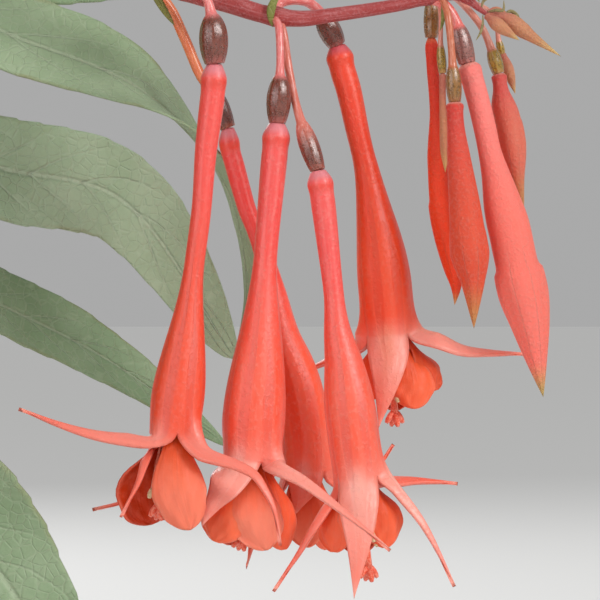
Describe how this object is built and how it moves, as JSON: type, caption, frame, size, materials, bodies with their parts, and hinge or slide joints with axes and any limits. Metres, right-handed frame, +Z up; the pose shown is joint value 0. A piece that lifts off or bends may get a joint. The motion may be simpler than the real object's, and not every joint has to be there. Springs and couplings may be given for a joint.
{
  "type": "fuchsia hanging basket",
  "caption": "Hanging bowl on three wires and a hook, planted with a trailing fuchsia whose long tubular coral flowers hang in clusters from arching shoots.",
  "frame": {"origin": "where the inside of the hook's bend bears on its support", "axes": "+Z up along the hanging line; +X towards the shoot in flower at the front right; the hook's bend lies in the XZ plane"},
  "size_m": [0.4763, 0.4392, 0.505],
  "materials": {
    "bowl": "satin terracotta-coloured moulded plastic",
    "wire": "zinc-plated steel wire",
    "mix": "moist dark potting mix",
    "stem": "soft reddish stem with a dusty bloom",
    "leaf": "soft sage-green leaf with finer paler veins",
    "ovary": "glossy brown-purple ovary",
    "calyx": "velvety coral-red flower tube and sepals",
    "petal": "orange-red petals",
    "stamen": "cream anthers on pink filaments",
    "bud": "fine-haired coral bud"
  },
  "bodies": {
    "root": {"hanging_bowl": "bowl", "hanging_hook": "wire", "hanger_wire_1": "wire", "hanger_wire_2": "wire", "hanger_wire_3": "wire", "hanger_collar": "wire", "flowering_stem": "stem", "leafy_stem": "stem", "flower_1_stamens": "stamen", "flower_1_corolla": "petal", "flower_1_calyx": "calyx", "flower_1_ovary": "ovary", "flower_2_stamens": "stamen", "flower_2_corolla": "petal", "flower_2_calyx": "calyx", "flower_2_ovary": "ovary", "flower_3_stamens": "stamen", "flower_3_corolla": "petal", "flower_3_calyx": "calyx", "flower_3_ovary": "ovary", "flower_4_stamens": "stamen", "flower_4_corolla": "petal", "flower_4_calyx": "calyx", "flower_4_ovary": "ovary", "flower_5_stamens": "stamen", "flower_5_corolla": "petal", "flower_5_calyx": "calyx", "flower_5_ovary": "ovary", "bud_1": "bud", "bud_2": "bud", "bud_3": "bud", "bud_4": "bud", "bud_5": "bud", "bud_6": "bud", "terminal_buds": "bud", "leaf_upper": "leaf", "leaf_middle": "leaf", "leaf_lower": "leaf", "leaf_front": "leaf", "leaf_back": "leaf", "shoot_01": "leaf", "shoot_02": "leaf", "shoot_03": "leaf", "shoot_04": "leaf", "shoot_05": "leaf", "shoot_06": "leaf", "shoot_07": "leaf", "shoot_08": "leaf", "shoot_09": "leaf", "shoot_10": "leaf", "shoot_11": "leaf", "shoot_12": "leaf", "shoot_13": "leaf", "shoot_14": "leaf", "shoot_15": "leaf", "shoot_16": "leaf", "shoot_17": "leaf", "shoot_18": "leaf", "shoot_19": "leaf", "potting_mix": "mix"}
  },
  "joints": []
}
